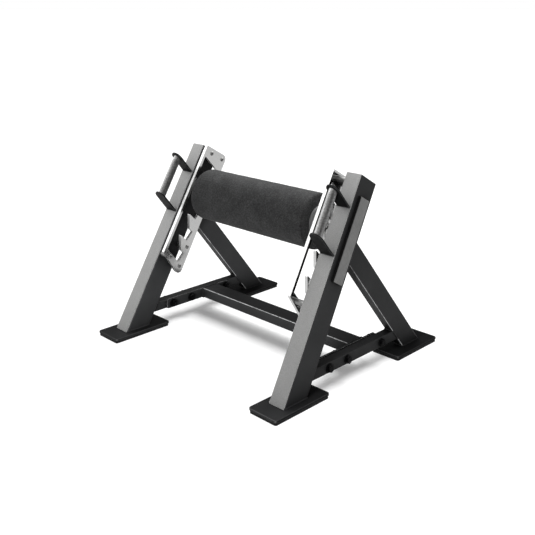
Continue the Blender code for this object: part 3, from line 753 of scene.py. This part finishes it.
def resample(points, step):
    """Evenly spaced points round a closed outline, with the distance run at each."""
    points = [Vector(point) for point in points]
    lengths = [(b - a).length for a, b in zip(points, points[1:] + points[:1])]
    total = sum(lengths)
    count = max(12, round(total / step))
    result, edge, done = [], 0, 0.0
    for index in range(count):
        target = total * index / count
        while target > done + lengths[edge]:
            done += lengths[edge]
            edge += 1
        share = (target - done) / lengths[edge]
        result.append(points[edge].lerp(points[(edge + 1) % len(points)], share))
    return result, total


def weld(name, part, point, normal, radius=WELD_RADIUS):
    """A rippled bead round the outline where a plane cuts a CAD node."""
    places, total = resample(outline(part, point, normal), WELD_STEP)
    ripples = max(1, round(total / WELD_PITCH))
    count = len(places)
    rings = []
    for index, spot in enumerate(places):
        ahead = (places[(index + 1) % count] - places[index - 1]).normalized()
        out = ahead.cross(normal).normalized()
        ring = []
        for side in range(WELD_SIDES):
            angle = math.tau * side / WELD_SIDES
            phase = ripples * index / count + 0.35 * math.cos(angle * 2)
            swell = 1 + 0.13 * abs(math.sin(math.pi * phase)) + 0.05 * noise.noise(spot * 240)
            ring.append(spot + (normal * math.cos(angle) + out * math.sin(angle)) * radius * swell)
        rings.append(ring)
    bead = skin(name, rings, "powder_coat", loop=True, sharp=math.radians(70))
    place(bead, "frame", "powder_coat")


def make_welds(hand, side):
    upright, strut, rail = f"upright_{hand}", f"strut_{hand}", f"side_rail_{hand}"

    def just_off(name, towards):
        point, normal = face_plane(name, towards)
        return point + normal * WELD_INSET, normal

    for part, end in ((upright, "front"), (strut, "rear")):
        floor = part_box(f"foot_plate_{end}_{hand}")[1]
        weld(f"weld_foot_{end}_{hand}", part, floor + Z_AXIS * WELD_INSET, Z_AXIS)
    back = just_off(upright, -UPRIGHT_FRONT)
    weld(f"weld_strut_top_{hand}", strut, *back)
    weld(f"weld_rail_front_{hand}", rail, *back)
    weld(f"weld_rail_rear_{hand}", rail, *just_off(strut, STRUT_FRONT))
    end_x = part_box("crossbar")[1].x - WELD_INSET
    weld(f"weld_crossbar_{hand}", "crossbar", X_AXIS * side * end_x, X_AXIS)
    strip = just_off(f"front_strip_{hand}", UPRIGHT_FRONT)
    for level in ("lower", "upper"):
        weld(f"weld_ear_{level}_{hand}", f"handle_ear_{level}_{hand}", *strip, EAR_WELD_RADIUS)


# -------- roller and axle


def make_foam():
    """The foam sleeve: a ring profile swept round X, dented and pored in the mesh itself."""
    centre, radius, _, half = space("foam_sleeve")
    inner, outer = space("core_tube").radius + CLEARANCE, radius - FOAM_DENT
    edge = FOAM_EDGE
    face = outer - edge - inner
    face_steps = round(face / FOAM_STEP)
    end_rows = [(inner + face * step / face_steps, -half, 0, -1) for step in range(face_steps)]
    for r, x in arc((outer - edge, edge - half), edge, -math.pi / 2, 0, FOAM_EDGE_STEPS):
        end_rows.append((r, x, (r - outer + edge) / edge, (x - edge + half) / edge))
    wall_steps = round(2 * (half - edge) / FOAM_STEP)
    wall = [(half - edge) * (2 * step / wall_steps - 1) for step in range(1, wall_steps)]
    rows = end_rows + [(outer, x, 1, 0) for x in wall]
    rows += [(r, -x, out, -along) for r, x, out, along in reversed(end_rows)]
    rings = []
    for r, x, out, along in rows:
        ring = []
        for side in range(FOAM_SIDES):
            angle = math.tau * side / FOAM_SIDES
            radial = Vector((0, math.cos(angle), math.sin(angle)))
            point = Vector((x, 0, 0)) + radial * r
            lift = FOAM_DENT * noise.noise(point * 38) + FOAM_PORE * noise.noise(point * 260)
            ring.append(centre + point + (radial * out + X_AXIS * along) * lift)
        rings.append(ring)
    sleeve = skin("foam_roller", rings, "foam", loop=True, sharp=math.radians(80))
    place(sleeve, "roller", "foam", "foam_sleeve")


def make_core():
    centre, radius, _, half = space("core_tube")
    inner, shoulder, end = radius - CORE_WALL, radius - CORE_CHAMFER, half - CORE_CHAMFER
    profile = [(inner, half), (shoulder, half), (radius, end)]
    profile += [(r, -x) for r, x in reversed(profile)]
    core = turned("core_liner", profile, "core", along_x(centre), loop=True)
    place(core, "roller", "core_tube", "core_tube")


def make_hub(hand, side):
    """The moulded hub: a rolled rim, a shallow dish with a groove, and the bearing's pocket."""
    centre, rim, inner, outer = space(f"roller_hub_{hand}")
    bearing = space(f"roller_bearing_{hand}")
    face = space("foam_sleeve").far + CLEARANCE
    pocket, depth = bearing.radius + CLEARANCE, bearing.near - CLEARANCE
    step, dish, spigot = outer - HUB_STEP, outer - HUB_DISH, rim - HUB_SPIGOT
    profile = [(pocket, depth), (pocket, step), (pocket + HUB_STEP, outer), (pocket + 0.0042, outer),
               (pocket + 0.0048, step), (pocket + 0.0052, dish), (rim - 0.0062, dish), (rim - 0.0056, step),
               (rim - 0.0050, outer)]
    profile += arc((rim - HUB_ROLL, outer - HUB_ROLL), HUB_ROLL, math.pi / 2, 0, 6)
    profile += [(rim, face), (spigot, face), (spigot, inner + 0.001), (spigot - 0.001, inner),
                (HUB_LIP_RADIUS, inner), (HUB_LIP_RADIUS, depth)]
    hub = turned(f"roller_end_hub_{hand}", profile, "hub", along_x(centre, side), loop=True)
    place(hub, "roller", "hub", f"roller_hub_{hand}")


def ring_profile(inner, outer, bottom, top, inner_chamfer, outer_chamfer):
    """The section of a ring whose four edges are broken."""
    return [(inner + inner_chamfer, bottom), (inner, bottom + inner_chamfer), (inner, top - inner_chamfer),
            (inner + inner_chamfer, top), (outer - outer_chamfer, top), (outer, top - outer_chamfer),
            (outer, bottom + outer_chamfer), (outer - outer_chamfer, bottom)]


def axle_bore():
    return space("axle_shaft").radius + CLEARANCE


def make_bearing(hand, side):
    """A sealed ball bearing: outer race, recessed seal and inner race, each its own ring."""
    name = f"roller_bearing_{hand}"
    centre, radius, bottom, top = space(name)
    bore = axle_bore()

    def make_ring(part, profile, material, *nodes):
        ring = turned(f"bearing_{part}_{hand}", profile, material, along_x(centre, side), loop=True)
        place(ring, "roller", "bright_steel", *nodes)

    def race(inner, outer):
        return ring_profile(inner, outer, bottom, top, RACE_CHAMFER, RACE_CHAMFER)

    make_ring("inner_race", race(bore, bore + RACE_WALL), "steel")
    make_ring("outer_race", race(radius - RACE_WALL, radius), "steel", name)
    start, end = bore + RACE_WALL + SEAL_GAP, radius - RACE_WALL - SEAL_GAP
    low, high = bottom + SEAL_SUNK, top - SEAL_SUNK
    lip, groove, half_way = high + SEAL_RELIEF, high - SEAL_RELIEF, (start + end) / 2
    make_ring("seal", [(start, low), (start, high), (start + 0.0012, lip), (half_way, lip),
                       (half_way + 0.0008, groove), (end - 0.0008, groove), (end, high), (end, low)], "seal")


def make_axle():
    """The axle: chamfered ends with a centre hole and a ring groove beside each collar."""
    centre, radius, _, half = space("axle_shaft")
    start = space("axle_collar_right").far + GROOVE_FROM_COLLAR
    end = start + AXLE_GROOVE
    root = radius - AXLE_GROOVE
    side = [(AXLE_DRILL * 0.35, half - AXLE_DRILL * 1.4), (AXLE_DRILL, half), (radius - AXLE_CHAMFER, half),
            (radius, half - AXLE_CHAMFER), (radius, end), (root, end), (root, start), (radius, start)]
    profile = side + [(r, -x) for r, x in reversed(side)]
    place(turned("axle_bar", profile, "steel", along_x(centre)), "axle", "bright_steel", "axle_shaft")


def make_collar(hand, side):
    """A shaft collar with a set screw in its rim."""
    name = f"axle_collar_{hand}"
    centre, radius, near, far = space(name)
    profile = ring_profile(axle_bore(), radius, near, far, COLLAR_INNER_CHAMFER, COLLAR_OUTER_CHAMFER)
    ring = turned(f"shaft_collar_{hand}", profile, "zinc", along_x(centre, side), loop=True)
    across = Matrix.Translation(centre + X_AXIS * side * (near + far) / 2)
    turn = across @ Matrix.Rotation(SET_SCREW_TURN, 4, "X")
    hole = bpy.data.meshes.new("collar_hole")
    shape = bmesh.new()
    drill = SET_SCREW_RADIUS + 0.0001
    bmesh.ops.create_cone(shape, cap_ends=True, segments=32, radius1=drill, radius2=drill, depth=0.02)
    bmesh.ops.translate(shape, vec=(0, 0, radius + 0.007), verts=shape.verts)
    shape.transform(turn)
    shape.to_mesh(hole)
    shape.free()
    carve(ring, hole)
    top = radius - SET_SCREW_SUNK
    socket = hexagon(SET_SCREW_FLATS)
    profile = [(0.0022, top - 0.0042), (SET_SCREW_RADIUS, top - 0.0034), (SET_SCREW_RADIUS, top - 0.0004),
               (SET_SCREW_RADIUS - 0.0004, top), (socket, top), (socket, top - 0.002)]
    screw = turned(f"set_screw_{hand}", profile, "zinc", turn, sides=SET_SCREW_SIDES)
    place(ring, "axle", "black_zinc", name)
    place(screw, "axle", "black_zinc")


def carve(piece, hole):
    """Cuts a hole mesh out of a piece and keeps the result as its mesh."""
    cutter = add_object("cutter", hole)
    cut = piece.modifiers.new("Cut", "BOOLEAN")
    cut.operation = "DIFFERENCE"
    cut.solver = "EXACT"
    cut.object = cutter
    bpy.context.view_layer.update()
    graph = bpy.context.evaluated_depsgraph_get()
    result = bpy.data.meshes.new_from_object(piece.evaluated_get(graph))
    piece.modifiers.clear()
    piece.data = result
    bpy.data.objects.remove(cutter)
    result.shade_smooth()
    result.set_sharp_from_angle(angle=SHARP)


# -------- grips


def make_grip(hand):
    """A knurled grip: plain bands at its two slanting ends, and diamonds between them."""
    name = f"handle_grip_{hand}"
    low_front, high_front = reach(name, lean_front)
    radius = (high_front - low_front) / 2
    centre = X_AXIS * middle(name).x + lean_front * (low_front + high_front) / 2
    sides = round(math.tau * radius / KNURL_PITCH) * KNURL_STEPS
    spokes = []
    for index in range(sides):
        angle = math.tau * index / sides
        spokes.append(X_AXIS * math.cos(angle) + lean_front * math.sin(angle))

    def heights(sign):
        """How far up each spoke the grip's lower or upper end cuts it."""
        point, normal = face_plane(name, lean_up * sign)
        return [(point - centre - spoke * radius).dot(normal) / lean_up.dot(normal) for spoke in spokes]

    def band(levels):
        middle_radius = radius - KNURL_DEPTH / 2
        return [centre + spoke * middle_radius + lean_up * level for spoke, level in zip(spokes, levels)]

    bottom, top = heights(-1), heights(1)
    first, last = max(bottom) + GRIP_PLAIN, min(top) - GRIP_PLAIN
    row_height = KNURL_PITCH / math.tan(KNURL_SLOPE) / KNURL_STEPS
    plain = [[PLAIN_SHADE] * sides] * 2
    rings, depths = [band(bottom), band([first] * sides)], plain[:]
    for row in range(1, round((last - first) / row_height)):
        ring, depth = [], []
        level = first + row * row_height
        for index, spoke in enumerate(spokes):
            one = abs(((index + row) / KNURL_STEPS) % 1 - 0.5) * 2
            other = abs(((index - row) / KNURL_STEPS) % 1 - 0.5) * 2
            ridge = min(one, other) ** KNURL_SHARPNESS
            ring.append(centre + spoke * (radius - KNURL_DEPTH * (1 - ridge)) + lean_up * level)
            depth.append(ridge)
        rings.append(ring)
        depths.append(depth)
    rings += [band([last] * sides), band(top)]
    depths += plain
    grip = skin(f"knurled_grip_{hand}", rings, "knurl", sharp=math.radians(60))
    values = grip.data.attributes.new("knurl", "FLOAT", "POINT")
    values.data.foreach_set("value", np.asarray(depths, np.float32).ravel())
    place(grip, "frame", "knurled_steel", name)


# -------- fasteners


def thread(height, taper):
    """A thread's radius as a function of the angle, at one height."""
    def at(angle):
        turn = (height / THREAD_PITCH - angle / math.tau) % 1
        return THREAD_RADIUS - THREAD_DEPTH * abs(2 * turn - 1) - taper
    return at


def hex_profile(foot, top):
    """A hexagon's sides and the chamfer that rounds its corners, from foot to top."""
    circle = HEX_FLATS / 2 * HEX_CIRCLE
    flats = hexagon(HEX_FLATS)

    def shoulder(angle):
        return top - (flats(angle) - circle) * math.tan(HEX_CHAMFER)

    return [(flats, foot), (flats, shoulder), (circle, top)]


def washer_profile(radius, foot, top):
    inner = radius - BREAK_EDGE
    return [(inner, foot), (radius, foot + BREAK_EDGE), (radius, top - BREAK_EDGE), (inner, top)]


def make_bolt(spot, hand, side, spin):
    """A hex bolt, its washer, and a real thread where it shows past the nut."""
    name = f"bolt_{spot}_{hand}"
    centre, radius, end, top = space(name)
    seat = space(f"side_rail_{hand}").far + CLEARANCE
    washer = seat + WASHER_THICKNESS
    thread_top = space(f"nut_{spot}_{hand}").far - THREAD_STOP
    profile = []
    height = end
    while height < thread_top:
        taper = max(0.0, THREAD_TAPER - (height - end)) * 0.9
        profile.append((thread(height, taper), height))
        height += THREAD_PITCH / THREAD_STEPS
    profile += [(THREAD_RADIUS, height), (THREAD_RADIUS, seat), *washer_profile(radius, seat, washer)]
    profile += [*hex_profile(washer, top), (DIMPLE[0], top), (DIMPLE[1], top - DIMPLE[2])]
    turn = along_x(centre, side, spin)
    bolt = turned(f"hex_bolt_{spot}_{hand}", profile, "zinc", turn, sides=BOLT_SIDES)
    place(bolt, "frame", "black_zinc", name)


def make_nut(spot, hand, side, spin):
    """A hex nut on its washer."""
    name = f"nut_{spot}_{hand}"
    centre, radius, outer, seat = space(name)
    washer = seat - WASHER_THICKNESS
    bore = THREAD_RADIUS + 0.0002
    profile = [(bore, -seat), *washer_profile(radius, -seat, -washer), *hex_profile(-washer, -outer)]
    profile += [(bore + NUT_COUNTERSINK, -outer), (bore, -outer - NUT_COUNTERSINK)]
    turn = along_x(centre, -side, spin)
    nut = turned(f"hex_nut_{spot}_{hand}", profile, "zinc", turn, loop=True, sides=BOLT_SIDES)
    place(nut, "frame", "black_zinc", name)


def make_stud(spot, centre, hand, side, *nodes):
    """A spacer between the upright and the notch plate, and its button-head screw with a hex socket."""
    _, radius, top, foot = space(f"plate_stud_top_rear_{hand}")
    _, _, inner, outer = space(f"notch_plate_{hand}")
    shoulder, under_head = -outer - CLEARANCE, -inner + CLEARANCE
    socket = hexagon(SOCKET_FLATS)
    end = radius - STUD_CHAMFER
    profile = [(end, -foot), (radius, -foot + STUD_CHAMFER), (radius, shoulder - STUD_CHAMFER),
               (end, shoulder), (SHANK_RADIUS, shoulder), (SHANK_RADIUS, under_head)]
    profile.append((BUTTON_RADIUS, under_head))
    rise = inner - top - 2 * CLEARANCE
    for step in range(BUTTON_STEPS + 1):
        share = step / BUTTON_STEPS
        crown = under_head + CLEARANCE + rise * math.sin(share * math.pi / 2)
        profile.append((BUTTON_RADIUS - (BUTTON_RADIUS - BUTTON_TOP) * share, crown))
    profile += [(socket, -top - 0.0001), (socket, -top - SOCKET_DEPTH)]
    turn = along_x(Vector((0, centre.y, centre.z)), -side, 0.3)
    stud = turned(f"spacer_stud_{spot}_{hand}", profile, "screw", turn, sides=STUD_SIDES)
    place(stud, "frame", "bright_steel", *nodes)


def make_studs(hand, side):
    """One stud for each in the frame, and a fifth one at the plate's lower front corner."""
    centres = {spot: middle(f"plate_stud_{spot}_{hand}") for spot in STUDS}
    for spot, centre in centres.items():
        make_stud(spot, centre, hand, side, f"plate_stud_{spot}_{hand}")
    forwards = centres["top_front"] - centres["top_rear"]
    corner = centres["low_rear"] + forwards + lean_up * FIFTH_STUD_RISE
    make_stud("low_front", corner, hand, side)


# -------- stage


def make_floor():
    """A pale floor that glows a little to the camera and throws back less light than it seems to."""
    half = FLOOR_HALF
    mesh = bpy.data.meshes.new("floor")
    square = [(-half, -half, 0), (half, -half, 0), (half, half, 0), (-half, half, 0)]
    mesh.from_pydata(square, [], [(0, 1, 2, 3)])
    floor = add_object("floor", mesh)
    floor.location.z = -FLOOR_DROP
    made = Shader("pale_floor", 0.7, 0.0, 0.2)
    pale = made.ramp(made.noise(3, 3), [(0.3, 0.90), (0.7, 0.92)])
    seen = made.add("LightPath").outputs["Is Camera Ray"]
    made.colour(made.mix(seen, 0.55, pale))
    made.set("Emission Color", 1.0)
    made.set("Emission Strength", made.math("MULTIPLY", seen, FLOOR_GLOW))
    mesh.materials.append(made.material)


def make_world():
    """White behind everything, an even fill, and for reflections a dim room with a softbox and a card."""
    world = bpy.data.worlds.new("studio")
    bpy.context.scene.world = world
    world.use_nodes = True
    studio = Nodes(world.node_tree)
    ray = studio.add("LightPath").outputs
    incoming = studio.add("NewGeometry").outputs["Incoming"]

    def glow(towards, outer, inner, dark, bright):
        """Brightness that rises from dark to bright as a ray comes closer to a direction."""
        near = studio.dot(incoming, -Vector(towards).normalized())
        inputs = {"Value": near, "From Min": outer, "From Max": inner, "To Min": dark, "To Max": bright}
        return studio.add("MapRange", inputs, interpolation_type="SMOOTHSTEP").outputs["Result"]

    seen = glow(Z_AXIS, ROOM_TOP_START, 1.0, ROOM_BRIGHTNESS, ROOM_TOP)
    for glowing in (glow(SOFTBOX_FROM, SOFTBOX_OUTER, SOFTBOX_INNER, 0.0, SOFTBOX_BRIGHTNESS),
                    glow(CARD_FROM, CARD_OUTER, CARD_INNER, 0.0, CARD_BRIGHTNESS)):
        seen = studio.math("MAXIMUM", seen, glowing)
    for kind, value in (("Is Diffuse Ray", ROOM_FILL), ("Is Camera Ray", 1.0)):
        inputs = {"Factor": ray[kind], "A": seen, "B": value}
        seen = studio.add("Mix", inputs, data_type="FLOAT").outputs["Result"]
    background = world.node_tree.nodes["Background"]
    studio.put(seen, background.inputs["Strength"])
    studio.put(1.0, background.inputs["Color"])


def lamp(name, kind, spot, energy, aim=(0, 0, 0), **settings):
    """A light that shines from a spot towards its aim; for a sun only the direction counts."""
    light = bpy.data.lights.new(name, kind)
    light.energy = energy
    for key, value in settings.items():
        setattr(light, key, value)
    item = add_object(name, light)
    item.location = spot
    item.rotation_euler = (Vector(spot) - Vector(aim)).to_track_quat("Z", "Y").to_euler()
    return item


def gather(name, wanted):
    """A collection of the pieces that pass a test, for a light that treats them apart."""
    group = bpy.data.collections.new(name)
    for item in list(bpy.context.scene.objects):
        if item.type == "MESH" and wanted(item):
            group.objects.link(item)
    return group


def casts(item):
    """Whether a piece is part of the rails or the crossbar, or of their fastening, low over the floor."""
    heights = [corner[2] for corner in item.bound_box]
    return body_of(item) == ["frame"] and min(heights) > CASTERS_ABOVE and max(heights) < CASTERS_BELOW


def make_lights():
    """An overhead light that leaves out the dark parts, and two fills that light only the coated ones."""
    coats = [material for name, material in materials.items() if name.endswith("_coat")]
    dark = [*coats, materials["zinc"]]
    overhead = lamp("overhead", "SUN", SUN_FROM, SUN_STRENGTH, angle=SUN_ANGLE)
    overhead.light_linking.blocker_collection = gather("casters", casts)
    pale = gather("pale_parts", lambda item: item.active_material not in dark)
    overhead.light_linking.receiver_collection = pale
    coated = gather("coated_parts", lambda item: item.active_material in coats)
    front = lamp("front_fill", "SUN", FRONT_FILL_FROM, FRONT_FILL_STRENGTH, angle=FRONT_FILL_ANGLE)
    inner = lamp("inner_fill", "AREA", INNER_FILL_PLACE, INNER_FILL_POWER, INNER_FILL_AIM, shape="DISK",
                 size=INNER_FILL_SIZE)
    for fill in (front, inner):
        fill.light_linking.receiver_collection = coated
        fill.visible_glossy = False


def make_camera():
    """The lens shift holds only at the camera's own place, and drops out when the camera moves round."""
    camera = add_object("camera", bpy.data.cameras.new("camera"))
    camera.location = CAMERA_PLACE
    camera.rotation_euler = (math.pi / 2, 0, CAMERA_TURN)
    camera.data.lens = CAMERA_LENS
    driver = camera.data.driver_add("shift_y").driver
    driver.type = "SCRIPTED"
    across = driver.variables.new()
    across.name = "x"
    across.type = "TRANSFORMS"
    across.targets[0].id = camera
    across.targets[0].transform_type = "LOC_X"
    driver.expression = f"{CAMERA_SHIFT} if abs(x - {CAMERA_PLACE[0]}) < 0.0005 else 0.0"
    bpy.context.scene.camera = camera


# -------- assembly

lean_front = face_plane("front_strip_left", UPRIGHT_FRONT)[1]
lean_up = Vector((0, lean_front.z, -lean_front.y))
lean = math.atan2(lean_up.y, lean_up.z)
strut_front = face_plane("strut_left", STRUT_FRONT)[1]
strut_lean = math.atan2(-strut_front.z, -strut_front.y)
join_triangles = clean_group()
shade_by_angle = shade_group(math.radians(33))
materials = {
    # In each coat the corner grey is a painted highlight, and the edge grey is part abrasion, part painted
    # highlight.
    "powder_coat": powder_coat("powder_coat", 0.10),
    "ear": powder_coat("ear_coat", 0.05),
    "foot_coat": powder_coat("foot_coat", 0.02, corner_highlight_grey=0.018, wear_and_highlight_grey=0.035),
    "rail_coat": powder_coat("rail_coat", 0.10, corner_highlight_grey=0.022, wear_and_highlight_grey=0.06),
    "bar_coat": powder_coat("bar_coat", 0.10, corner_highlight_grey=0.23),
    "upright_coat": powder_coat("upright_coat", 0.10, tilt=-lean, corner_highlight_grey=0.05),
    "strut_coat": powder_coat("strut_coat", 0.10, tilt=strut_lean, corner_highlight_grey=0.18),
    "painted_edge_highlight": painted_edge_highlight(),
    "strip": brushed_strip(lean),
    "stainless": stainless(lean),
    "steel": turned_steel(),
    "screw": screw_steel(),
    "knurl": knurled_steel(),
    "zinc": black_zinc(),
    "rubber": foot_rubber(),
    "plastic": black_plastic(),
    "trim": cover_trim(lean),
    "foam": foam_skin(),
    "core": grey_plastic("core_grey", 0.20, 0.26),
    "hub": grey_plastic("hub_grey", 0.25, 0.32),
    "seal": bearing_seal(),
}

for hand, side in SIDES.items():
    for part, (material, softening) in FINISHES.items():
        dress(f"{part}_{hand}", material, **softening)
    make_welds(hand, side)
    make_grip(hand)
    make_hub(hand, side)
    make_bearing(hand, side)
    make_collar(hand, side)
    for index, spot in enumerate(BOLTS):
        make_bolt(spot, hand, side, 0.7 * index + 0.2)
        make_nut(spot, hand, side, 0.5 * index + 0.4)
    make_studs(hand, side)
dress("crossbar", "bar_coat", **TUBE)
make_foam()
make_core()
make_axle()

make_floor()
make_world()
make_lights()
make_camera()
bpy.context.scene.view_settings.view_transform = "Standard"
